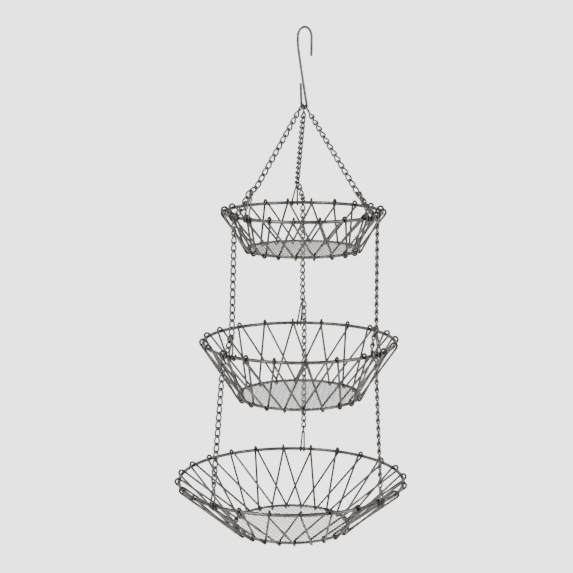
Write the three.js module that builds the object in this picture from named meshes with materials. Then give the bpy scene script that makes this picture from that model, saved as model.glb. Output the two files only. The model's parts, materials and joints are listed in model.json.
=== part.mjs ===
// Three-tier hanging wire produce basket: an S-hook, three chains and three round lattice baskets.
// Millimetres, +Z up. The origin is the hanging point, under the wire of the S-hook's upper arch.
import * as THREE from "three";

// Wire radii
const HOOK_WIRE = 1.5;
const RIM_WIRE = 2;
const BASE_WIRE = 1.6;
const LATTICE_WIRE = 1.1;
const HANGER_WIRE = 1;
const LINK_WIRE = 0.85;

// Gaps
const FIT = 0.35;
const SEAT_FIT = 0.45;
const APEX_PLAY = 3;
const LINK_PLAY = 1.3;
const DRAPE_START = 18;

// S-hook, drawn in the X-Z plane
const ARCH = { x: -1.05, z: -11, halfWidth: 8.85, height: 12.5 };
const HOOK_TIP = [7.6, -35];
const STEM_BENDS = [[-9.9, -18], [-8.7, -30], [-4.6, -58], [-0.3, -86], [1, -93]];
const CROOK = { x: -1.6, z: -99.6, radius: 3.4 };
const CROOK_TIP = [-6.1, -71];

// Chain links
const LINK = { pitch: 9.4, length: 11, halfWidth: 2.85 };
const CHAIN = { wide: 3.7, thin: 1, joint: 1.7 };
const DRAPED_CHAIN = 2.2;
const HOOKED_AT = { rear: 262, left: 194, right: 324 };

// Wraps of the wires around the rims and base rings, from the ring's centre line
const RIM_WRAP = 4.2;
const BASE_WRAP = 3.6;
const HANGER_CURL = 3.8;
const CURL_STEP = 54;
const EYE = { height: 9.5, halfWidth: 3, shoulder: 1.9, shoulderDrop: 1.3 };
const FLOOR_MARGIN = 5.2;
const FLOOR_THICKNESS = 0.8;

// Azimuths are degrees counter-clockwise from +X, seen from above.
const BASKETS = [
  {
    name: "top", x: -2.6, rimHeight: -238.4, rimRadius: 104, baseHeight: -287.6, baseRadius: 74,
    wraps: 20, firstWrap: 11,
    hangers: {
      rear: { azimuth: 95.5, spread: 3.6, lean: 8, slew: -2, rise: 29 },
      left: { azimuth: 227, spread: 4, lean: 11, slew: -4, rise: 35.5 },
      right: { azimuth: 323, spread: 3.6, lean: 16, slew: -3.5, rise: 32.5 },
    },
    crossings: { rear: 89.5, left: 216, right: 329.4 },
  },
  {
    name: "middle", x: -7.5, rimHeight: -412.6, rimRadius: 128, baseHeight: -485.2, baseRadius: 82,
    wraps: 20, firstWrap: 3.4,
    hangers: {
      rear: { azimuth: 89.5, spread: 2.4, lean: -6, slew: -5, rise: 34 },
      left: { azimuth: 227.6, spread: 3.2, lean: -2, slew: 1, rise: 29 },
      right: { azimuth: 321, spread: 3.2, lean: 4.4, slew: 3.4, rise: 36 },
    },
    crossings: { rear: 86.3, left: 222.6, right: 316.4 },
  },
  {
    name: "bottom", x: -18.2, rimHeight: -603.8, rimRadius: 152, baseHeight: -666, baseRadius: 79,
    wraps: 24, firstWrap: 4,
    hangers: {
      rear: { azimuth: 83.5, spread: 2.4, lean: -8, slew: -1, rise: 32 },
      left: { azimuth: 229, spread: 4, lean: 2, slew: -2, rise: 31 },
      right: { azimuth: 319, spread: 4, lean: 2, slew: 2, rise: 28 },
    },
  },
];
const SIDES = ["rear", "left", "right"];

// Finish of each kind of wire
const STEEL = { hook: "#77716b", rim: "#6b6762", lattice: "#6f6963", chain: "#5f5a55", floor: "#9b9894" };

const group = new THREE.Group();
const vector = (x, y, z) => new THREE.Vector3(x, y, z);
const radians = THREE.MathUtils.degToRad;

function addPiece(name, geometry, colour) {
  const finish = new THREE.MeshStandardMaterial({ color: colour, metalness: 0.9, roughness: 0.4 });
  const piece = new THREE.Mesh(geometry, finish);
  piece.name = name;
  group.add(piece);
}

// A wire's direction at one of its points, halfway between the two stretches that meet there.
function directionAt(points, index, closed) {
  const count = points.length;
  const last = count - 1;
  const before = closed ? points[(index + last) % count] : points[Math.max(index - 1, 0)];
  const after = closed ? points[(index + 1) % count] : points[Math.min(index + 1, last)];
  const arriving = points[index].clone().sub(before).normalize();
  const leaving = after.clone().sub(points[index]).normalize();
  return arriving.add(leaving).normalize();
}

// Carries a side direction along the wire without twisting it.
function carrySide(side, from, to) {
  const turn = new THREE.Quaternion().setFromUnitVectors(from, to);
  return side.clone().applyQuaternion(turn);
}

function squareTo(direction) {
  const guide = Math.abs(direction.z) < 0.9 ? vector(0, 0, 1) : vector(1, 0, 0);
  return guide.cross(direction).normalize();
}

// Side directions along the wire; a closed wire spreads its remaining twist over its whole length.
function sidesAlong(directions, closed) {
  const sides = [squareTo(directions[0])];
  for (let index = 1; index < directions.length; index += 1) {
    sides.push(carrySide(sides[index - 1], directions[index - 1], directions[index]));
  }
  if (!closed) return sides;
  const returned = carrySide(sides.at(-1), directions.at(-1), directions[0]);
  const sine = returned.clone().cross(sides[0]).dot(directions[0]);
  const twist = Math.atan2(sine, returned.dot(sides[0]));
  return sides.map((side, index) => side.applyAxisAngle(directions[index], (twist * index) / sides.length));
}

// Joins rings of points into one closed surface, with flat ends unless it closes on itself.
function skin(rings, closed) {
  const around = rings[0].length;
  const spans = closed ? rings.length : rings.length - 1;
  const indices = [];
  for (let span = 0; span < spans; span += 1) {
    const here = span * around;
    const next = ((span + 1) % rings.length) * around;
    for (let corner = 0; corner < around; corner += 1) {
      const beside = (corner + 1) % around;
      indices.push(here + corner, here + beside, next + beside);
      indices.push(here + corner, next + beside, next + corner);
    }
  }
  if (!closed) {
    const end = (rings.length - 1) * around;
    for (let corner = 1; corner < around - 1; corner += 1) {
      indices.push(0, corner + 1, corner);
      indices.push(end, end + corner, end + corner + 1);
    }
  }
  const geometry = new THREE.BufferGeometry().setFromPoints(rings.flat());
  geometry.setIndex(indices);
  return geometry;
}

// A round wire through the given points.
function wire(points, radius, corners, closed = false) {
  const directions = points.map((point, index) => directionAt(points, index, closed));
  const sides = sidesAlong(directions, closed);
  const rings = points.map((point, index) => {
    const ring = [];
    for (let corner = 0; corner < corners; corner += 1) {
      const turned = sides[index].clone();
      turned.applyAxisAngle(directions[index], (corner * 2 * Math.PI) / corners);
      ring.push(turned.multiplyScalar(radius).add(point));
    }
    return ring;
  });
  return skin(rings, closed);
}

// A point in a basket's own cylinder frame.
function around(basket, azimuth, radius, height) {
  const angle = radians(azimuth);
  return vector(basket.x + radius * Math.cos(angle), radius * Math.sin(angle), height);
}

// A point beside a ring of the basket: turned by an angle about the ring's wire, 0 outward, 90 up.
function besideRing(basket, azimuth, ringRadius, ringHeight, reach, angle) {
  const turn = radians(angle);
  const radius = ringRadius + reach * Math.cos(turn);
  return around(basket, azimuth, radius, ringHeight + reach * Math.sin(turn));
}

function ring(basket, radius, height, wireRadius, corners) {
  const steps = basket.wraps * 2;
  const points = [];
  for (let step = 0; step < steps; step += 1) {
    points.push(around(basket, basket.firstWrap + (step * 360) / steps, radius, height));
  }
  return wire(points, wireRadius, corners, true);
}

// One lattice wire: up the inside, over the rim, down the outside, under the base ring, and on.
function latticeWire(basket, firstWrap) {
  const pitch = 360 / basket.wraps;
  const inward = basket.rimRadius - basket.baseRadius;
  const slope = THREE.MathUtils.radToDeg(Math.atan2(inward, basket.rimHeight - basket.baseHeight));
  const points = [];
  for (let wrap = firstWrap; wrap < basket.wraps; wrap += 2) {
    const rimAzimuth = basket.firstWrap + wrap * pitch;
    for (const angle of [180, 120, 60, 0]) {
      const turn = angle - slope;
      points.push(besideRing(basket, rimAzimuth, basket.rimRadius, basket.rimHeight, RIM_WRAP, turn));
    }
    const baseAzimuth = rimAzimuth + pitch;
    for (const angle of [0, -60, -120, -180]) {
      const turn = angle - slope;
      points.push(besideRing(basket, baseAzimuth, basket.baseRadius, basket.baseHeight, BASE_WRAP, turn));
    }
  }
  return wire(points, LATTICE_WIRE, 3, true);
}

function floorDisc(basket) {
  const radius = basket.baseRadius - FLOOR_MARGIN;
  const disc = new THREE.CylinderGeometry(radius, radius, FLOOR_THICKNESS, basket.wraps);
  disc.rotateX(Math.PI / 2);
  disc.translate(basket.x, 0, basket.baseHeight);
  return disc;
}

// The top of a hanger, where a chain link takes it.
function apexOf(basket, side) {
  const { azimuth, lean, slew, rise } = basket.hangers[side];
  const apex = around(basket, azimuth, basket.rimRadius - lean, basket.rimHeight + rise);
  const tangent = vector(-Math.sin(radians(azimuth)), Math.cos(radians(azimuth)), 0);
  return apex.addScaledVector(tangent, slew);
}

// A hairpin of wire: each foot curls under the rim, and the bend at the top is an upright eye that
// stands across the rim, where a chain link takes it.
function hanger(basket, side) {
  const { azimuth, spread, lean, rise } = basket.hangers[side];
  const apex = apexOf(basket, side);
  const outward = vector(Math.cos(radians(azimuth)), Math.sin(radians(azimuth)), 0);
  const tangent = vector(-outward.y, outward.x, 0);
  const tilt = THREE.MathUtils.radToDeg(Math.atan2(lean, rise));
  const footSwing = THREE.MathUtils.radToDeg(spread / basket.rimRadius);
  const foot = (sign) => [4, 3, 2, 1, 0].map((step) => {
    const place = azimuth + sign * footSwing;
    return besideRing(basket, place, basket.rimRadius, basket.rimHeight, HANGER_CURL, tilt - CURL_STEP * step);
  });
  const stalk = around(basket, azimuth, basket.rimRadius, basket.rimHeight).sub(apex).normalize();
  const below = (drop, out, aside) => apex.clone().addScaledVector(stalk, drop)
    .addScaledVector(outward, out).addScaledVector(tangent, aside);
  const eyeSide = (sign) => [
    below(EYE.height, 0, sign * (HANGER_WIRE + FIT)),
    below(EYE.height / 2, sign * EYE.halfWidth, 0),
    below(EYE.shoulderDrop, sign * EYE.shoulder, 0),
  ];
  const up = [...foot(-1), ...eyeSide(-1)];
  const down = [...foot(1), ...eyeSide(1)].reverse();
  return wire([...up, apex, ...down], HANGER_WIRE, 5);
}

function hookLine() {
  const points = [vector(HOOK_TIP[0], 0, HOOK_TIP[1])];
  for (let step = 0; step <= 10; step += 1) {
    const angle = (step * Math.PI) / 10;
    const x = ARCH.x + ARCH.halfWidth * Math.cos(angle);
    points.push(vector(x, 0, ARCH.z + ARCH.height * Math.sin(angle)));
  }
  for (const [x, z] of STEM_BENDS) points.push(vector(x, 0, z));
  for (let step = 0; step <= 8; step += 1) {
    const angle = (-step * Math.PI) / 8;
    const x = CROOK.x + CROOK.radius * Math.cos(angle);
    points.push(vector(x, 0, CROOK.z + CROOK.radius * Math.sin(angle)));
  }
  points.push(vector(CROOK_TIP[0], 0, CROOK_TIP[1]));
  return points;
}

// Where an end link sits on the crook, and the way it and its chain pull.
function endLinkPlace(side) {
  const angle = radians(HOOKED_AT[side]);
  const x = CROOK.x + CROOK.radius * Math.cos(angle);
  const seat = vector(x, 0, CROOK.z + CROOK.radius * Math.sin(angle));
  const pull = apexOf(BASKETS[0], side).sub(seat).normalize();
  const along = vector(-Math.sin(angle), 0, Math.cos(angle));
  const slant = along.cross(pull);
  const lift = (HOOK_WIRE + SEAT_FIT + LINK_WIRE) / slant.length();
  const top = seat.clone().addScaledVector(pull, -lift);
  const across = slant.normalize();
  return { top, pull, across };
}

function endLink(side) {
  const { top, pull, across } = endLinkPlace(side);
  const straight = LINK.length / 2 - LINK.halfWidth;
  const centre = top.clone().addScaledVector(pull, LINK.length / 2);
  const points = [];
  for (let step = 0; step < 12; step += 1) {
    const angle = ((step + 0.5) * Math.PI) / 6;
    const down = LINK.halfWidth * Math.sin(angle) + straight * Math.sign(Math.sin(angle));
    const point = centre.clone().addScaledVector(pull, down);
    points.push(point.addScaledVector(across, LINK.halfWidth * Math.cos(angle)));
  }
  return wire(points, LINK_WIRE, 5, true);
}

// A taut run of chain: every link a flat, each a quarter turn from the last, joined at their ends.
function chainRun(start, end) {
  const direction = end.clone().sub(start).normalize();
  const side = squareTo(direction);
  const front = direction.clone().cross(side);
  const links = Math.round(start.distanceTo(end) / LINK.pitch);
  const section = (share, halfSide, halfFront) => {
    const centre = start.clone().lerp(end, share);
    return [[1, 1], [-1, 1], [-1, -1], [1, -1]].map(([s, f]) => centre.clone()
      .addScaledVector(side, s * halfSide).addScaledVector(front, f * halfFront));
  };
  const rings = [section(0, CHAIN.joint, CHAIN.joint)];
  for (let link = 0; link < links; link += 1) {
    const flat = link % 2 === 0;
    const halfSide = flat ? CHAIN.wide : CHAIN.thin;
    const halfFront = flat ? CHAIN.thin : CHAIN.wide;
    rings.push(section((link + 0.5) / links, halfSide, halfFront));
    rings.push(section((link + 1) / links, CHAIN.joint, CHAIN.joint));
  }
  return skin(rings, false);
}

// Where a chain hangs free of the outside of a rim.
function leavesRim(basket, side) {
  const radius = basket.rimRadius + RIM_WIRE + CHAIN.wide + FIT * 2;
  return around(basket, basket.crossings[side], radius, basket.rimHeight - RIM_WIRE * 2);
}

// The stretch of chain from a hanger's top, down over the rim to where it hangs free.
function drapedChain(basket, side) {
  const apex = apexOf(basket, side);
  const clear = RIM_WIRE + DRAPED_CHAIN + FIT;
  const azimuth = basket.crossings[side];
  const over = [105, 60, 15].map((angle) => besideRing(
    basket, azimuth, basket.rimRadius, basket.rimHeight, clear, angle,
  ));
  const start = apex.clone().lerp(over[0], DRAPE_START / apex.distanceTo(over[0]));
  return wire([start, ...over], DRAPED_CHAIN, 4);
}

// The last point of a run that ends short of a hanger's top, clear of the hanger's own play.
function shortOfApex(start, apex) {
  return apex.clone().lerp(start, APEX_PLAY / apex.distanceTo(start));
}

addPiece("s_hook", wire(hookLine(), HOOK_WIRE, 6), STEEL.hook);

for (const side of SIDES) {
  addPiece(`end_link_${side}`, endLink(side), STEEL.chain);
  const { top, pull } = endLinkPlace(side);
  const start = top.clone().addScaledVector(pull, LINK.length + LINK_WIRE + LINK_PLAY);
  addPiece(`chain_${side}_upper`, chainRun(start, shortOfApex(start, apexOf(BASKETS[0], side))), STEEL.chain);
}

for (const basket of BASKETS) {
  const { rimRadius, rimHeight, baseRadius, baseHeight } = basket;
  addPiece(`${basket.name}_rim`, ring(basket, rimRadius, rimHeight, RIM_WIRE, 6), STEEL.rim);
  addPiece(`${basket.name}_base_ring`, ring(basket, baseRadius, baseHeight, BASE_WIRE, 5), STEEL.rim);
  addPiece(`${basket.name}_lattice_wire_a`, latticeWire(basket, 0), STEEL.lattice);
  addPiece(`${basket.name}_lattice_wire_b`, latticeWire(basket, 1), STEEL.lattice);
  addPiece(`${basket.name}_floor_mesh`, floorDisc(basket), STEEL.floor);
  for (const side of SIDES) {
    addPiece(`${basket.name}_hanger_${side}`, hanger(basket, side), STEEL.lattice);
  }
}

// Below each rim that the chains drape over, a free run goes down to the next basket's hanger.
for (const [index, run] of [[0, "middle"], [1, "lower"]]) {
  const basket = BASKETS[index];
  for (const side of SIDES) {
    addPiece(`chain_${side}_over_${basket.name}_rim`, drapedChain(basket, side), STEEL.chain);
    const start = leavesRim(basket, side);
    const end = shortOfApex(start, apexOf(BASKETS[index + 1], side));
    addPiece(`chain_${side}_${run}`, chainRun(start, end), STEEL.chain);
  }
}

export default group;
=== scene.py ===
"""Three-tier hanging wire produce basket: the looks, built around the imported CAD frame.

Points are worked out in millimetres, in the frame's axes, and become metres when a mesh is made.
"""
import json
import math
import random

import bpy
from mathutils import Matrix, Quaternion, Vector


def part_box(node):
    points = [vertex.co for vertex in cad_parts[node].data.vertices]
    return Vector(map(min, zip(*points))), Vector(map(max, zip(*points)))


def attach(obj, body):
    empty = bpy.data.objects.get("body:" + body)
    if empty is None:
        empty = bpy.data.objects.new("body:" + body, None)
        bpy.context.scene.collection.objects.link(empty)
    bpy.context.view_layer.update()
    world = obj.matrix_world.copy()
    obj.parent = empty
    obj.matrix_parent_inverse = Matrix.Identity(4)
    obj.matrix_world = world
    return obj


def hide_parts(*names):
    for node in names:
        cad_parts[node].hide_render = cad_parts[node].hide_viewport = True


MM = 0.001
SIDES = ("rear", "left", "right")
RUNS = ("upper", "middle", "lower")

# Wire radii
HOOK_WIRE = 1.65
RIM_WIRE = 2.3
BASE_WIRE = 1.85
LATTICE_WIRE = 1.45
HANGER_WIRE = 1.2
LINK_WIRE = 1.15
END_LINK_WIRE = 0.95
CLOTH_WIRE = 0.36

# Wire radii of the CAD's rings, which their boxes include
CAD_RIM_WIRE = 2
CAD_BASE_WIRE = 1.6

# S-hook, drawn in the X-Z plane
ARCH = {"x": -1.05, "z": -11, "half_width": 8.85, "height": 12.5}
HOOK_TIP = (7.6, -35)
STEM_BENDS = ((-9.9, -18), (-8.7, -30), (-4.6, -58), (-0.3, -86), (1, -93))
CROOK = {"x": -1.6, "z": -99.6, "radius": 3.4}
CROOK_TIP = (-6.1, -71)
ARCH_START = (7.75, -22)
CROOK_EXIT = (-5.6, -85)
ARCH_STEPS = 12
CROOK_STEPS = 8

# Chain links
END_LINK_LENGTH = 11
END_LINK_HALF_WIDTH = 2.85
LINK_HALF_WIDTH = 2.95
LINK_PITCH = 9.9
LINK_TWIST = 42
LINK_POINTS = 26
LINK_SQUARENESS = 2.2
TWIST_REACH = 0.8
SEAT_GAP = 0.3
EYE_GAP = 0.1
HOOKED_AT = {"rear": 262, "left": 194, "right": 324}

# Wraps around the rims and base rings, from the ring's centre line, and how much higher each wrap arches
RIM_WRAP = 4.1
RIM_WRAP_ARCH = 1.25
BASE_WRAP = 3.4
BASE_WRAP_ARCH = 0.15
WRAP_STEP = 15
LEG_POINTS = 9

# Hangers: how far each foot curls round the rim, in degrees, and the upright eye at the top
HANGER_CURL = 3.6
FOOT_TURN = 230
FOOT_STEP = 23
EYE = {"height": 9.5, "half_width": 3, "neck": 1.3, "shoulder": 1.9, "shoulder_drop": 1.3}

# Woven floors: wire to wire, and how the wires' ends rise over the base ring and turn down outside it
FLOOR_PITCH = 5.3
FLOOR_LIFT = 0.2
END_RISE_REACH = 3.2
END_TURN_OUT = 1.7
END_TURN_DOWN = -1.5

# How chains lie over a rim: angles about the rim's wire, and the clearance in link radii
DRAPE_BENDS = (110, 70, 30)
DRAPE_EXIT = -18
DRAPE_CLEARANCE = 2.6
DRAPE_EXIT_GAP = 0.4

# Unevenness of the hand-wrapped lattice, in degrees either way
RIM_UNEVENNESS = 0.35
BASE_UNEVENNESS = 1.2

# Detail of the wire meshes: points between bends, corners of a round wire, and rounded ends
SMOOTHING = 5
THICK_CORNERS = 16
WIRE_CORNERS = 10
LINK_CORNERS = 8
CLOTH_CORNERS = 6
RING_POINTS = 360
END_ANGLES = (78, 52, 26)
END_ROUNDNESS = 0.6

# Tarnish and painted shade where wires touch and cross, from 0 to 1, and how far it spreads in millimetres
# or as a share of a lattice leg
CROOK_TARNISH_AND_SHADE = 0.75
CROOK_TARNISH_AND_SHADE_MOST = 0.8
CROOK_TARNISH_AND_SHADE_REACH = 9
LINK_END_TARNISH_AND_SHADE = 0.6
RING_TARNISH_AND_SHADE = 0.8
RING_TARNISH_AND_SHADE_REACH = 2.4
WRAP_TARNISH_AND_SHADE = 0.55
CROSSING_TARNISH_AND_SHADE = 0.35
CROSSING_REACH = 0.06
HANGER_TARNISH_AND_SHADE = 0.6
FOOT_TARNISH_AND_SHADE_REACH = 4
EYE_TARNISH_AND_SHADE_REACH = 2

# Steel: its clean and dull colours, its roughness and how fine its grain is
FINISHES = {
    "hook_steel": {
        "clean": (0.24, 0.235, 0.225), "dull": (0.15, 0.145, 0.138), "roughness": 0.32, "grain": 1400,
    },
    "rim_steel": {
        "clean": (0.25, 0.233, 0.22), "dull": (0.12, 0.11, 0.103), "roughness": 0.32, "grain": 1300,
    },
    "lattice_steel": {
        "clean": (0.25, 0.236, 0.222), "dull": (0.125, 0.116, 0.108), "roughness": 0.34, "grain": 1600,
    },
    "chain_steel": {
        "clean": (0.24, 0.228, 0.215), "dull": (0.12, 0.113, 0.107), "roughness": 0.32, "grain": 1800,
    },
    "floor_mesh_steel": {
        "clean": (0.46, 0.45, 0.435), "dull": (0.32, 0.31, 0.30), "roughness": 0.4, "grain": 2400,
    },
}
MOTTLE_SCALE = 160
MOTTLE_DETAIL = 6
GRAIN_DETAIL = 3
DULL_BELOW = 0.36
CLEAN_ABOVE = 0.62
# How far the tarnish and painted contact shade darken the dull colour
TARNISH_AND_SHADE_DARKNESS = 0.3
SMOOTHER = 0.09
ROUGHER = 0.12
BUMP_STRENGTH = 0.25
BUMP_DEPTH = 0.0001

# How the chains and hangers meet each basket. Azimuths are degrees counter-clockwise from +X.
BASKETS = (
    {
        "name": "top", "wraps": 20, "first_wrap": 11, "weave_turn": 78,
        "hangers": {
            "rear": {"azimuth": 95.5, "spread": 3.6, "lean": 8, "slew": -2, "rise": 29},
            "left": {"azimuth": 227, "spread": 4, "lean": 11, "slew": -4, "rise": 35.5},
            "right": {"azimuth": 323, "spread": 3.6, "lean": 16, "slew": -3.5, "rise": 32.5},
        },
        "crossings": {"rear": 89.5, "left": 216, "right": 329.4},
    },
    {
        "name": "middle", "wraps": 20, "first_wrap": 3.4, "weave_turn": 40,
        "hangers": {
            "rear": {"azimuth": 89.5, "spread": 2.4, "lean": -6, "slew": -5, "rise": 34},
            "left": {"azimuth": 227.6, "spread": 3.2, "lean": -2, "slew": 1, "rise": 29},
            "right": {"azimuth": 321, "spread": 3.2, "lean": 4.4, "slew": 3.4, "rise": 36},
        },
        "crossings": {"rear": 86.3, "left": 222.6, "right": 316.4},
    },
    {
        "name": "bottom", "wraps": 24, "first_wrap": 4, "weave_turn": 20,
        "hangers": {
            "rear": {"azimuth": 83.5, "spread": 2.4, "lean": -8, "slew": -1, "rise": 32},
            "left": {"azimuth": 229, "spread": 4, "lean": 2, "slew": -2, "rise": 31},
            "right": {"azimuth": 319, "spread": 4, "lean": 2, "slew": 2, "rise": 28},
        },
    },
)

# Roll of each chain run's first link about the run's own line, in degrees.
FIRST_ROLLS = {
    "upper": {"rear": -30, "left": -42, "right": -60},
    "middle": {"rear": -42, "left": -42, "right": -85},
    "lower": {"rear": -42, "left": -30, "right": 80},
}

# Where a run's last link lies turned in its hanger's eye: that link's roll.
LAST_ROLLS = {("upper", "right"): -12}

# Where a run's last link lies aslant: the way from its hanger's eye to the link's upper end.
KNEES = {("upper", "left"): ((0.6, 0.72, 0.3),)}

# Camera, in metres and radians
CAMERA_PLACE = (-0.0309, -2.0010, 0.0163)
CAMERA_PITCH = 0.1752
CAMERA_YAW = 0.0032
CAMERA_LENS = 96.3
SENSOR_WIDTH = 36
CAMERA_REACH = 20

# Stage and light, in metres and watts
FLOOR_HEIGHT = -0.76
FLOOR_HALF_WIDTH = 6
FLOOR_COLOUR = (0.85, 0.85, 0.85, 1)
FLOOR_ROUGHNESS = 0.9
BACKDROP_GLOW = 3
FLOOR_GLOW = 0.4
ROOM_BRIGHTEST_WAY = (0, 0.7, -0.7)
ROOM_DARKEST = 0.25
ROOM_BRIGHTEST = 1.2
LIGHT_TARGET = (0, 0, -0.35)
KEY_LIGHT = {"place": (-1.2, -1.6, 0.9), "size": (0.9, 1.2), "power": 28, "colour": (1, 0.99, 0.97)}
FILL_LIGHT = {"place": (1.5, -1.2, 0.2), "size": (0.7, 1.4), "power": 12, "colour": (0.98, 0.99, 1)}
RANDOM_SEED = 7


def add_camera():
    data = bpy.data.cameras.new("camera")
    data.lens = CAMERA_LENS
    data.sensor_width = SENSOR_WIDTH
    data.clip_end = CAMERA_REACH
    camera = bpy.data.objects.new("camera", data)
    bpy.context.scene.collection.objects.link(camera)
    camera.location = CAMERA_PLACE
    camera.rotation_euler = (math.pi / 2 - CAMERA_PITCH, 0, -CAMERA_YAW)
    bpy.context.scene.camera = camera


# ---------------------------------------------------------------- geometry


def along_wire(points, closed):
    """The wire's direction at each of its points."""
    count = len(points)
    found = []
    for index in range(count):
        before = points[index - 1] if closed or index else points[index]
        after = points[(index + 1) % count] if closed or index < count - 1 else points[index]
        found.append((after - before).normalized())
    return found


def sides_along(directions, closed):
    """Side directions carried along the wire; a closed wire spreads its leftover twist."""
    guide = Vector((0, 0, 1)) if abs(directions[0].z) < 0.9 else Vector((1, 0, 0))
    sides = [guide.cross(directions[0]).normalized()]
    for before, after in zip(directions, directions[1:]):
        sides.append(before.rotation_difference(after) @ sides[-1])
    if not closed:
        return sides
    returned = directions[-1].rotation_difference(directions[0]) @ sides[-1]
    twist = math.atan2(returned.cross(sides[0]).dot(directions[0]), returned.dot(sides[0]))
    count = len(sides)
    return [Quaternion(directions[i], twist * i / count) @ side for i, side in enumerate(sides)]


class WireMesh:
    """Gathers round wires into one mesh, with how much tarnish and painted contact shade each of their
    points has.
    """

    def __init__(self):
        self.vertices = []
        self.faces = []
        self.tarnish_and_shade = []

    def add_ring(self, centre, direction, side, radius, corners, tarnish_and_shade):
        across = direction.cross(side)
        for corner in range(corners):
            angle = 2 * math.pi * corner / corners
            offset = side * math.cos(angle) + across * math.sin(angle)
            self.vertices.append((centre + offset * radius) * MM)
            self.tarnish_and_shade.append(tarnish_and_shade)

    def add_wire(self, points, radius, corners, closed=False, tarnish_and_shade=None):
        directions = along_wire(points, closed)
        sides = sides_along(directions, closed)
        shades = tarnish_and_shade or [0.0] * len(points)
        rings = list(zip(points, directions, sides, [radius] * len(points), shades))
        if not closed:
            rings = self.round_end(rings[0], -1) + rings + self.round_end(rings[-1], 1)[::-1]
        start = len(self.vertices)
        for centre, direction, side, size, shade in rings:
            self.add_ring(centre, direction, side, size, corners, shade)
        self.add_skin(start, len(rings), corners, closed)
        if not closed:
            last = start + (len(rings) - 1) * corners
            self.faces.append(tuple(start + corner for corner in reversed(range(corners))))
            self.faces.append(tuple(last + corner for corner in range(corners)))

    def add_skin(self, start, ring_count, corners, closed):
        spans = ring_count if closed else ring_count - 1
        for span in range(spans):
            here = start + span * corners
            following = start + ((span + 1) % ring_count) * corners
            for corner in range(corners):
                beside = (corner + 1) % corners
                self.faces.append((here + corner, here + beside, following + beside, following + corner))

    def round_end(self, ring, sign):
        """Shrinking rings past a wire's end, the smallest first."""
        centre, direction, side, radius, shade = ring
        rings = []
        for angle in END_ANGLES:
            turn = math.radians(angle)
            shifted = centre + direction * (sign * radius * END_ROUNDNESS * math.sin(turn))
            rings.append((shifted, direction, side, radius * math.cos(turn), shade))
        return rings

    def make(self, name, material):
        mesh = bpy.data.meshes.new(name)
        mesh.from_pydata(self.vertices, [], self.faces)
        # Per-point darkening for the steel: real tarnish plus painted shade where wires touch and cross
        attribute = mesh.attributes.new("tarnish_and_shade", "FLOAT", "POINT")
        attribute.data.foreach_set("value", self.tarnish_and_shade)
        mesh.polygons.foreach_set("use_smooth", [True] * len(mesh.polygons))
        mesh.materials.append(material)
        piece = bpy.data.objects.new(name, mesh)
        bpy.context.scene.collection.objects.link(piece)
        return piece


def smooth_line(points):
    """An evenly spaced Catmull-Rom line through the points."""
    ends = [points[0] * 2 - points[1]] + list(points) + [points[-1] * 2 - points[-2]]
    line = []
    for a, b, c, d in zip(ends, ends[1:], ends[2:], ends[3:]):
        for step in range(SMOOTHING):
            t = step / SMOOTHING
            line.append(0.5 * (2 * b + (c - a) * t + (2 * a - 5 * b + 4 * c - d) * t ** 2
                               + (3 * b - a - 3 * c + d) * t ** 3))
    line.append(points[-1].copy())
    return line


def tangent_at(azimuth):
    angle = math.radians(azimuth)
    return Vector((-math.sin(angle), math.cos(angle), 0))


def measure(basket):
    """Adds the CAD rings' centres, radii and heights to a basket, in millimetres."""
    for ring, wire in (("rim", CAD_RIM_WIRE), ("base_ring", CAD_BASE_WIRE)):
        low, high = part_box(f"{basket['name']}_{ring}")
        basket[ring] = {
            "x": (low.x + high.x) / 2 / MM,
            "radius": (high.y - low.y) / 2 / MM - wire,
            "height": (low.z + high.z) / 2 / MM,
        }


def beside_ring(ring, azimuth, reach, angle):
    """A point at a reach from a ring's wire, at an angle about it: 0 outward, 90 up."""
    turn = math.radians(azimuth)
    radius = ring["radius"] + reach * math.cos(math.radians(angle))
    height = ring["height"] + reach * math.sin(math.radians(angle))
    return Vector((ring["x"] + radius * math.cos(turn), radius * math.sin(turn), height))


def apex_of(basket, side):
    hanger = basket["hangers"][side]
    ring = dict(basket["rim"])
    ring["radius"] -= hanger["lean"]
    top = beside_ring(ring, hanger["azimuth"], 0, 0) + Vector((0, 0, hanger["rise"]))
    return top + tangent_at(hanger["azimuth"]) * hanger["slew"]


# ---------------------------------------------------------------- materials


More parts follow.
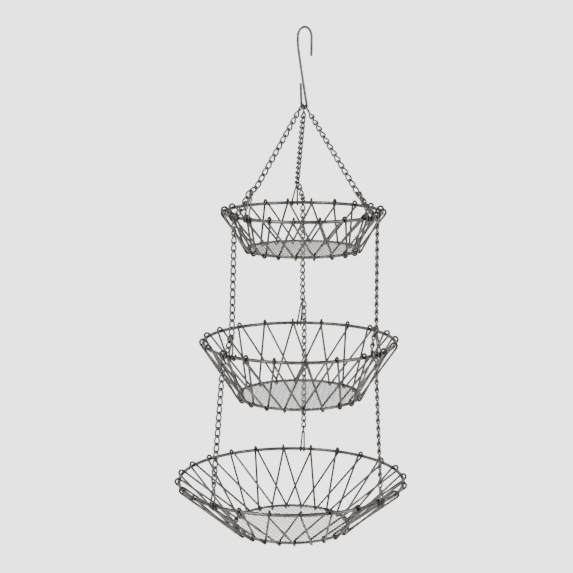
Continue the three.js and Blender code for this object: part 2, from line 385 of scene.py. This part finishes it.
def steel(name, clean, dull, roughness, grain):
    """Worn steel wire: a mottled patina, darker where a per-point attribute says so, which holds real
    tarnish and painted shade where wires touch and cross.
    """
    material = bpy.data.materials.new(name)
    material.use_nodes = True
    nodes = material.node_tree.nodes
    links = material.node_tree.links
    shader = nodes["Principled BSDF"]
    shader.inputs["Metallic"].default_value = 1.0

    place = nodes.new("ShaderNodeTexCoord")
    mottle = nodes.new("ShaderNodeTexNoise")
    mottle.inputs["Scale"].default_value = MOTTLE_SCALE
    mottle.inputs["Detail"].default_value = MOTTLE_DETAIL
    fine = nodes.new("ShaderNodeTexNoise")
    fine.inputs["Scale"].default_value = grain
    fine.inputs["Detail"].default_value = GRAIN_DETAIL
    links.new(place.outputs["Object"], mottle.inputs["Vector"])
    links.new(place.outputs["Object"], fine.inputs["Vector"])

    patina = nodes.new("ShaderNodeValToRGB")
    patina.color_ramp.elements[0].position = DULL_BELOW
    patina.color_ramp.elements[0].color = (*dull, 1)
    patina.color_ramp.elements[1].position = CLEAN_ABOVE
    patina.color_ramp.elements[1].color = (*clean, 1)
    links.new(mottle.outputs["Fac"], patina.inputs["Fac"])

    # Painted contact shade and real tarnish: a per-point attribute darkens the colour towards a darker dull
    # tone where wires touch and cross
    tarnish_and_shade = nodes.new("ShaderNodeAttribute")
    tarnish_and_shade.attribute_name = "tarnish_and_shade"
    darken = nodes.new("ShaderNodeMix")
    darken.data_type = "RGBA"
    darken.inputs["B"].default_value = (*(channel * TARNISH_AND_SHADE_DARKNESS for channel in dull), 1)
    links.new(tarnish_and_shade.outputs["Fac"], darken.inputs["Factor"])
    links.new(patina.outputs["Color"], darken.inputs["A"])
    links.new(darken.outputs["Result"], shader.inputs["Base Color"])

    gloss = nodes.new("ShaderNodeMapRange")
    gloss.inputs["To Min"].default_value = roughness - SMOOTHER
    gloss.inputs["To Max"].default_value = roughness + ROUGHER
    links.new(fine.outputs["Fac"], gloss.inputs["Value"])
    links.new(gloss.outputs["Result"], shader.inputs["Roughness"])

    bump = nodes.new("ShaderNodeBump")
    bump.inputs["Strength"].default_value = BUMP_STRENGTH
    bump.inputs["Distance"].default_value = BUMP_DEPTH
    links.new(fine.outputs["Fac"], bump.inputs["Height"])
    links.new(bump.outputs["Normal"], shader.inputs["Normal"])
    return material


# ---------------------------------------------------------------- S-hook and end links


def half_turn(centre, width, height, steps, sign):
    """Points of a half ellipse from its +X end to its -X end: over the top for +1, under for -1."""
    points = []
    for step in range(steps + 1):
        angle = sign * math.pi * step / steps
        x = centre["x"] + width * math.cos(angle)
        points.append(Vector((x, 0, centre["z"] + height * math.sin(angle))))
    return points


def hook_tarnish_and_shade(height):
    """The hook is darker where the end links rub its crook: partly real tarnish, partly painted shade
    between the links and the crook.
    """
    near = max(0, 1 - (height - CROOK["z"]) / CROOK_TARNISH_AND_SHADE_REACH)
    return min(CROOK_TARNISH_AND_SHADE_MOST, CROOK_TARNISH_AND_SHADE * near)


def build_hook(finish):
    points = [Vector((x, 0, z)) for x, z in (HOOK_TIP, ARCH_START)]
    points += half_turn(ARCH, ARCH["half_width"], ARCH["height"], ARCH_STEPS, 1)
    points += [Vector((x, 0, z)) for x, z in STEM_BENDS]
    points += half_turn(CROOK, CROOK["radius"], CROOK["radius"], CROOK_STEPS, -1)
    points += [Vector((x, 0, z)) for x, z in (CROOK_EXIT, CROOK_TIP)]
    line = smooth_line(points)
    wire = WireMesh()
    wire.add_wire(line, HOOK_WIRE, THICK_CORNERS, tarnish_and_shade=[hook_tarnish_and_shade(point.z) for point in line])
    finish_piece(wire.make("s_hook_wire", finish), "s_hook")


def clamped(value):
    return max(-1, min(1, value))


def link_loop(top, bottom, side, twist, wire_radius, half_width):
    """A link between two bearing points: a long loop, each end turned about the link's length."""
    length = (bottom - top).length / 2 + wire_radius
    down = (bottom - top).normalized()
    centre = (top + bottom) / 2
    straight = length - half_width
    loop = []
    for step in range(LINK_POINTS):
        angle = 2 * math.pi * step / LINK_POINTS
        across = half_width * math.cos(angle)
        along = half_width * math.sin(angle) + straight * clamped(math.sin(angle) * LINK_SQUARENESS)
        turn = twist * math.sin(clamped(along / (length * TWIST_REACH)) * math.pi / 2)
        loop.append(centre + down * along + (Quaternion(down, math.radians(turn)) @ side) * across)
    return loop


def loop_tarnish_and_shade(count):
    """Links are darkest where the next link rubs their ends: partly real wear, partly painted shade where
    the links touch.
    """
    return [LINK_END_TARNISH_AND_SHADE * abs(math.sin(2 * math.pi * step / count)) ** 6 for step in range(count)]


def end_link_seat(side, top_basket):
    angle = math.radians(HOOKED_AT[side])
    x = CROOK["x"] + CROOK["radius"] * math.cos(angle)
    seat = Vector((x, 0, CROOK["z"] + CROOK["radius"] * math.sin(angle)))
    pull = (apex_of(top_basket, side) - seat).normalized()
    slant = Vector((-math.sin(angle), 0, math.cos(angle))).cross(pull)
    top = seat - pull * ((HOOK_WIRE + SEAT_GAP + END_LINK_WIRE) / slant.length)
    return top, pull, slant.normalized()


def build_end_link(side, top_basket, finish):
    """The first link of a chain, hooked on the crook. Returns where the next link bears on it."""
    top, pull, across = end_link_seat(side, top_basket)
    first = top + pull * END_LINK_WIRE
    last = top + pull * (END_LINK_LENGTH - END_LINK_WIRE)
    loop = link_loop(first, last, across, 0, END_LINK_WIRE, END_LINK_HALF_WIDTH)
    wire = WireMesh()
    wire.add_wire(loop, END_LINK_WIRE, WIRE_CORNERS, closed=True, tarnish_and_shade=loop_tarnish_and_shade(len(loop)))
    finish_piece(wire.make(f"end_link_{side}_loop", finish), f"end_link_{side}")
    return last


# ---------------------------------------------------------------- baskets


def ring_tarnish_and_shade(ring, azimuths, wraps):
    """A ring is darker close to the wires that wrap it: partly real tarnish, partly painted shade where they
    touch.
    """
    shades = []
    for azimuth in azimuths:
        nearest = min(abs((azimuth - wrap + 180) % 360 - 180) for wrap in wraps)
        reach = math.radians(nearest) * ring["radius"]
        shades.append(RING_TARNISH_AND_SHADE * math.exp(-((reach / RING_TARNISH_AND_SHADE_REACH) ** 2)))
    return shades


def build_ring(basket, ring_name, wire_radius, finish):
    ring = basket[ring_name]
    azimuths = [360 * step / RING_POINTS for step in range(RING_POINTS)]
    points = [beside_ring(ring, azimuth, 0, 0) for azimuth in azimuths]
    shades = ring_tarnish_and_shade(ring, azimuths, basket["wrap_azimuths"])
    wire = WireMesh()
    wire.add_wire(points, wire_radius, THICK_CORNERS, closed=True, tarnish_and_shade=shades)
    node = f"{basket['name']}_{ring_name}"
    finish_piece(wire.make(f"{node}_wire", finish), node)


def wrap_round(ring, azimuth, angles, reach, arch):
    """A wrap's points about a ring's wire: reach from its centre line, and arch more at 90 degrees."""
    points = []
    for angle, leaning in angles:
        arched = reach + arch * math.sin(math.radians(angle)) ** 2
        points.append(beside_ring(ring, azimuth, arched, leaning))
    return points


def lattice_wraps(basket, strand):
    """One lattice wire's wraps in order: over the rim from inside, then under the base ring from outside."""
    rim = basket["rim"]
    base = basket["base_ring"]
    slope = math.degrees(math.atan2(rim["radius"] - base["radius"], rim["height"] - base["height"]))
    bends = range(0, 181, WRAP_STEP)
    over = [(180 - bend, 180 - bend - slope) for bend in bends]
    under = [(-bend, -bend - slope) for bend in bends]
    count = basket["wraps"]
    wraps = []
    for index in range(strand, count, 2):
        rim_azimuth = basket["wrap_azimuths"][index]
        base_azimuth = basket["base_azimuths"][(index + 1) % count]
        wraps.append(wrap_round(rim, rim_azimuth, over, RIM_WRAP, RIM_WRAP_ARCH))
        wraps.append(wrap_round(base, base_azimuth, under, BASE_WRAP, BASE_WRAP_ARCH))
    return wraps


def join_wraps(wraps):
    """The closed wire through the wraps, with straight legs that are dark where two of them cross; the wraps
    and crossings are darkened partly as real tarnish, partly as painted shade where wires touch.
    """
    points = []
    shades = []
    for wrap, following in zip(wraps, wraps[1:] + wraps[:1]):
        points += wrap
        shades += [WRAP_TARNISH_AND_SHADE] * len(wrap)
        for step in range(1, LEG_POINTS + 1):
            share = step / (LEG_POINTS + 1)
            points.append(wrap[-1].lerp(following[0], share))
            shades.append(CROSSING_TARNISH_AND_SHADE * math.exp(-(((share - 0.5) / CROSSING_REACH) ** 2)))
    return points, shades


def build_lattice(basket, strand, finish):
    points, shades = join_wraps(lattice_wraps(basket, strand))
    wire = WireMesh()
    wire.add_wire(points, LATTICE_WIRE, WIRE_CORNERS, closed=True, tarnish_and_shade=shades)
    node = f"{basket['name']}_lattice_wire_{'ab'[strand]}"
    finish_piece(wire.make(f"{node}_strand", finish), node)


def build_floor(basket, finish):
    """Woven wire cloth: wires both ways, over and under, their ends turned down over the base ring."""
    ring = basket["base_ring"]
    centre = Vector((ring["x"], 0, ring["height"] + FLOOR_LIFT))
    reach = ring["radius"]
    turn = math.radians(basket["weave_turn"])
    ways = (Vector((math.cos(turn), math.sin(turn), 0)), Vector((-math.sin(turn), math.cos(turn), 0)))
    wire = WireMesh()
    lines = int(reach / FLOOR_PITCH)
    for way, (along, across) in enumerate((ways, ways[::-1])):
        for line in range(-lines, lines + 1):
            offset = line * FLOOR_PITCH
            half = math.sqrt(max(0, (reach + BASE_WIRE * 0.2) ** 2 - offset ** 2))
            if half < FLOOR_PITCH * 1.5:
                continue
            points = cloth_wire(centre, along, across, offset, half, line + way)
            wire.add_wire(points, CLOTH_WIRE, CLOTH_CORNERS)
    node = f"{basket['name']}_floor_mesh"
    finish_piece(wire.make(f"{node}_weave", finish), node)


def cloth_wire(centre, along, across, offset, half, phase):
    """A wire of the cloth, with its ends lifted over the base ring and turned down outside it."""
    steps = max(8, int(2 * half / FLOOR_PITCH * 3))
    points = []
    for step in range(steps + 1):
        distance = -half + 2 * half * step / steps
        lift = CLOTH_WIRE * math.cos(math.pi * (distance / FLOOR_PITCH + phase))
        rise = (BASE_WIRE + CLOTH_WIRE) * math.exp(-(((half - abs(distance)) / END_RISE_REACH) ** 2))
        height = lift * (1 - rise / 3) + rise - FLOOR_LIFT
        points.append(centre + along * distance + across * offset + Vector((0, 0, height)))
    for end, sign in ((0, -1), (-1, 1)):
        outer = points[end] + along * (sign * END_TURN_OUT) + Vector((0, 0, END_TURN_DOWN))
        points.insert(0 if end == 0 else len(points), outer)
    return points


def hanger_tarnish_and_shade(height, rim_height, apex_height):
    """A hanger is darker where it rubs the rim and in its eye: partly real tarnish, partly painted shade
    where it touches the rim and the chain's link.
    """
    at_foot = abs(height - rim_height) < FOOT_TARNISH_AND_SHADE_REACH
    at_eye = height > apex_height - EYE_TARNISH_AND_SHADE_REACH
    return HANGER_TARNISH_AND_SHADE if at_foot or at_eye else 0.0


def build_hanger(basket, side, finish):
    """A hairpin of wire: each foot curls under the rim, and the bend at the top is an upright eye."""
    hanger = basket["hangers"][side]
    rim = basket["rim"]
    apex = apex_of(basket, side)
    tangent = tangent_at(hanger["azimuth"])
    outward = Vector((tangent.y, -tangent.x, 0))
    tilt = math.degrees(math.atan2(hanger["lean"], hanger["rise"]))
    swing = math.degrees(hanger["spread"] / rim["radius"])
    stalk = (beside_ring(rim, hanger["azimuth"], 0, 0) - apex).normalized()

    def below(drop, out, aside):
        return apex + stalk * drop + outward * out + tangent * aside

    feet = []
    sides = []
    for sign in (-1, 1):
        azimuth = hanger["azimuth"] + sign * swing
        bends = range(FOOT_TURN, -1, -FOOT_STEP)
        feet.append([beside_ring(rim, azimuth, HANGER_CURL, tilt - bend) for bend in bends])
        neck = below(EYE["height"], 0, sign * EYE["neck"])
        leg = [feet[-1][-1].lerp(neck, share / 4) for share in (1, 2, 3)]
        waist = below(EYE["height"] / 2, sign * EYE["half_width"], 0)
        sides.append([*leg, neck, waist, below(EYE["shoulder_drop"], sign * EYE["shoulder"], 0)])
    rise = smooth_line([feet[0][-1], *sides[0], apex, *sides[1][::-1], feet[1][-1]])
    line = feet[0][:-1] + rise + feet[1][-2::-1]
    shades = [hanger_tarnish_and_shade(point.z, rim["height"], apex.z) for point in line]
    wire = WireMesh()
    wire.add_wire(line, HANGER_WIRE, WIRE_CORNERS, tarnish_and_shade=shades)
    node = f"{basket['name']}_hanger_{side}"
    finish_piece(wire.make(f"{node}_hairpin", finish), node)


# ---------------------------------------------------------------- chains


def spaced(route, count):
    """Evenly spaced points along a route of straight stretches."""
    lengths = [(b - a).length for a, b in zip(route, route[1:])]
    total = sum(lengths)
    found = []
    for step in range(count + 1):
        left = total * step / count
        index = 0
        while index < len(lengths) - 1 and left > lengths[index]:
            left -= lengths[index]
            index += 1
        found.append(route[index].lerp(route[index + 1], min(1, left / lengths[index])))
    return found


def unrolled(down):
    """The side direction of a link of roll 0 that hangs along the given direction."""
    return down.cross(Vector((0, 1, 0))).normalized()


def roll_towards(down, across):
    """The roll that lays a link's width along the given direction."""
    base = unrolled(down)
    flat = (across - down * across.dot(down)).normalized()
    return math.degrees(math.atan2(down.dot(base.cross(flat)), base.dot(flat)))


def nearest_roll(roll, other):
    """The same roll, give or take half turns, as near the other one as it can be."""
    return other + (roll - other + 90) % 180 - 90


def lay_chain(wire, route, first_roll, last_roll):
    """Lays interlinked twisted links along a route, turning slowly from one roll to the other."""
    total = sum((b - a).length for a, b in zip(route, route[1:]))
    count = max(1, round(total / LINK_PITCH))
    joints = spaced(route, count)
    turn = nearest_roll(last_roll, first_roll) - first_roll
    for index, (top, bottom) in enumerate(zip(joints, joints[1:])):
        down = (bottom - top).normalized()
        roll = math.radians(first_roll + turn * index / max(1, count - 1))
        side = Quaternion(down, roll) @ unrolled(down)
        loop = link_loop(top, bottom, side, LINK_TWIST, LINK_WIRE, LINK_HALF_WIDTH)
        wire.add_wire(loop, LINK_WIRE, LINK_CORNERS, closed=True, tarnish_and_shade=loop_tarnish_and_shade(len(loop)))


def over_rim(basket, side):
    """The way a chain goes over a rim, from inside it to where it hangs free outside."""
    azimuth = basket["crossings"][side]
    clear = RIM_WIRE + LINK_WIRE * DRAPE_CLEARANCE
    bends = [beside_ring(basket["rim"], azimuth, clear, angle) for angle in DRAPE_BENDS]
    free = beside_ring(basket["rim"], azimuth, clear + DRAPE_EXIT_GAP, DRAPE_EXIT)
    return bends, free


def build_run(node, route, first_roll, last_roll, finish):
    wire = WireMesh()
    lay_chain(wire, route, first_roll, last_roll)
    finish_piece(wire.make(f"{node}_links", finish), node)


def build_drape(side, basket, seat, facing, last_roll, finish):
    """The links over a rim, from beside a hanger's eye. Returns where the chain hangs free."""
    tangent = tangent_at(basket["hangers"][side]["azimuth"])
    bends, free = over_rim(basket, side)
    towards_crossing = (bends[0] - apex_of(basket, side)).dot(tangent)
    first = seat + tangent * math.copysign(HANGER_WIRE + LINK_WIRE + EYE_GAP, towards_crossing)
    node = f"chain_{side}_over_{basket['name']}_rim"
    build_run(node, [first, *bends, free], facing + 90 + LINK_TWIST, last_roll, finish)
    return free


def build_chain(side, baskets, start, finish):
    """One chain from its end link down to the lowest basket's hanger, in the CAD's runs."""
    for run, next_run, basket in zip(RUNS, (*RUNS[1:], None), baskets):
        apex = apex_of(basket, side)
        down = (apex - start).normalized()
        facing = roll_towards(down, tangent_at(basket["hangers"][side]["azimuth"]))
        seat = apex + down * HANGER_WIRE
        knee = [seat + Vector(step) * LINK_PITCH for step in KNEES.get((run, side), ())]
        last_roll = LAST_ROLLS.get((run, side), facing - LINK_TWIST)
        route = [start, *knee, seat]
        build_run(f"chain_{side}_{run}", route, FIRST_ROLLS[run][side], last_roll, finish)
        if next_run:
            start = build_drape(side, basket, seat, facing, FIRST_ROLLS[next_run][side], finish)


# ---------------------------------------------------------------- frame, stage, light


def body_of(node):
    for body, nodes in frame["record"]["behaviour"]["bodies"].items():
        if node in nodes:
            return body
    raise KeyError(node)


def finish_piece(piece, node):
    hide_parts(node)
    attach(piece, body_of(node))


def uneven(azimuths, most, generator):
    return [azimuth + generator.uniform(-most, most) for azimuth in azimuths]


def hand_bent(basket, generator):
    """Adds the wraps' azimuths on the rim and the base ring, as uneven as hand work leaves them."""
    pitch = 360 / basket["wraps"]
    even = [basket["first_wrap"] + pitch * index for index in range(basket["wraps"])]
    basket["wrap_azimuths"] = uneven(even, RIM_UNEVENNESS, generator)
    basket["base_azimuths"] = uneven(even, BASE_UNEVENNESS, generator)


def add_area_light(name, place, size, power, colour):
    data = bpy.data.lights.new(name, "AREA")
    data.shape = "RECTANGLE"
    data.size, data.size_y = size
    data.energy = power
    data.color = colour
    light = bpy.data.objects.new(name, data)
    bpy.context.scene.collection.objects.link(light)
    light.location = place
    light.rotation_euler = (Vector(LIGHT_TARGET) - Vector(place)).to_track_quat("-Z", "Y").to_euler()


def glow_for_camera(tree, plain, output):
    """An even white glow for the camera's own rays, and the plain shader for all other light."""
    glow = tree.nodes.new("ShaderNodeEmission")
    glow.inputs["Strength"].default_value = BACKDROP_GLOW
    path = tree.nodes.new("ShaderNodeLightPath")
    mix = tree.nodes.new("ShaderNodeMixShader")
    tree.links.new(path.outputs["Is Camera Ray"], mix.inputs["Fac"])
    tree.links.new(plain, mix.inputs[1])
    tree.links.new(glow.outputs["Emission"], mix.inputs[2])
    tree.links.new(mix.outputs["Shader"], output)


def build_floor_stage():
    """A plain pale floor under the hanging basket."""
    mesh = bpy.data.meshes.new("floor")
    half = FLOOR_HALF_WIDTH
    corners = [(-half, -half), (half, -half), (half, half), (-half, half)]
    mesh.from_pydata([(x, y, FLOOR_HEIGHT) for x, y in corners], [], [(0, 1, 2, 3)])
    material = bpy.data.materials.new("pale_floor")
    material.use_nodes = True
    tree = material.node_tree
    shader = tree.nodes["Principled BSDF"]
    shader.inputs["Base Color"].default_value = FLOOR_COLOUR
    shader.inputs["Roughness"].default_value = FLOOR_ROUGHNESS
    shader.inputs["Emission Color"].default_value = (1, 1, 1, 1)
    shader.inputs["Emission Strength"].default_value = FLOOR_GLOW
    glow_for_camera(tree, shader.outputs["BSDF"], tree.nodes["Material Output"].inputs["Surface"])
    mesh.materials.append(material)
    floor = bpy.data.objects.new("floor", mesh)
    bpy.context.scene.collection.objects.link(floor)


def build_room():
    """A white room, brightest low down behind the basket, with two soft lights in front."""
    world = bpy.data.worlds.new("white_room")
    world.use_nodes = True
    tree = world.node_tree
    background = tree.nodes["Background"]
    place = tree.nodes.new("ShaderNodeTexCoord")
    towards = tree.nodes.new("ShaderNodeVectorMath")
    towards.operation = "DOT_PRODUCT"
    towards.inputs[1].default_value = ROOM_BRIGHTEST_WAY
    level = tree.nodes.new("ShaderNodeMapRange")
    level.inputs["From Min"].default_value = -1
    level.inputs["To Min"].default_value = ROOM_DARKEST
    level.inputs["To Max"].default_value = ROOM_BRIGHTEST
    tree.links.new(place.outputs["Generated"], towards.inputs[0])
    tree.links.new(towards.outputs["Value"], level.inputs["Value"])
    tree.links.new(level.outputs["Result"], background.inputs["Strength"])
    background.inputs["Color"].default_value = (1, 1, 1, 1)
    glow_for_camera(tree, background.outputs["Background"], tree.nodes["World Output"].inputs["Surface"])
    bpy.context.scene.world = world
    add_area_light("key", **KEY_LIGHT)
    add_area_light("fill", **FILL_LIGHT)


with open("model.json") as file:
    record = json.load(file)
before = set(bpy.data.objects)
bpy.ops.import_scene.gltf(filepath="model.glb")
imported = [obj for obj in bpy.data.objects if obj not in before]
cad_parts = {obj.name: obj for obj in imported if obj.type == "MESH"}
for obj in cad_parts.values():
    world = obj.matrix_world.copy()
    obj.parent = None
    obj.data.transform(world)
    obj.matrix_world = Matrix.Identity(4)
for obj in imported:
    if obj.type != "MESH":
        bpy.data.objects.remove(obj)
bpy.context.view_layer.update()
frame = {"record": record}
add_camera()
finishes = {name: steel(name, **look) for name, look in FINISHES.items()}
generator = random.Random(RANDOM_SEED)
baskets = [dict(basket) for basket in BASKETS]
for basket in baskets:
    measure(basket)
    hand_bent(basket, generator)
    build_ring(basket, "rim", RIM_WIRE, finishes["rim_steel"])
    build_ring(basket, "base_ring", BASE_WIRE, finishes["rim_steel"])
    for strand in (0, 1):
        build_lattice(basket, strand, finishes["lattice_steel"])
    build_floor(basket, finishes["floor_mesh_steel"])
    for side in SIDES:
        build_hanger(basket, side, finishes["lattice_steel"])
build_hook(finishes["hook_steel"])
for side in SIDES:
    bearing = build_end_link(side, baskets[0], finishes["chain_steel"])
    build_chain(side, baskets, bearing, finishes["chain_steel"])
build_floor_stage()
build_room()
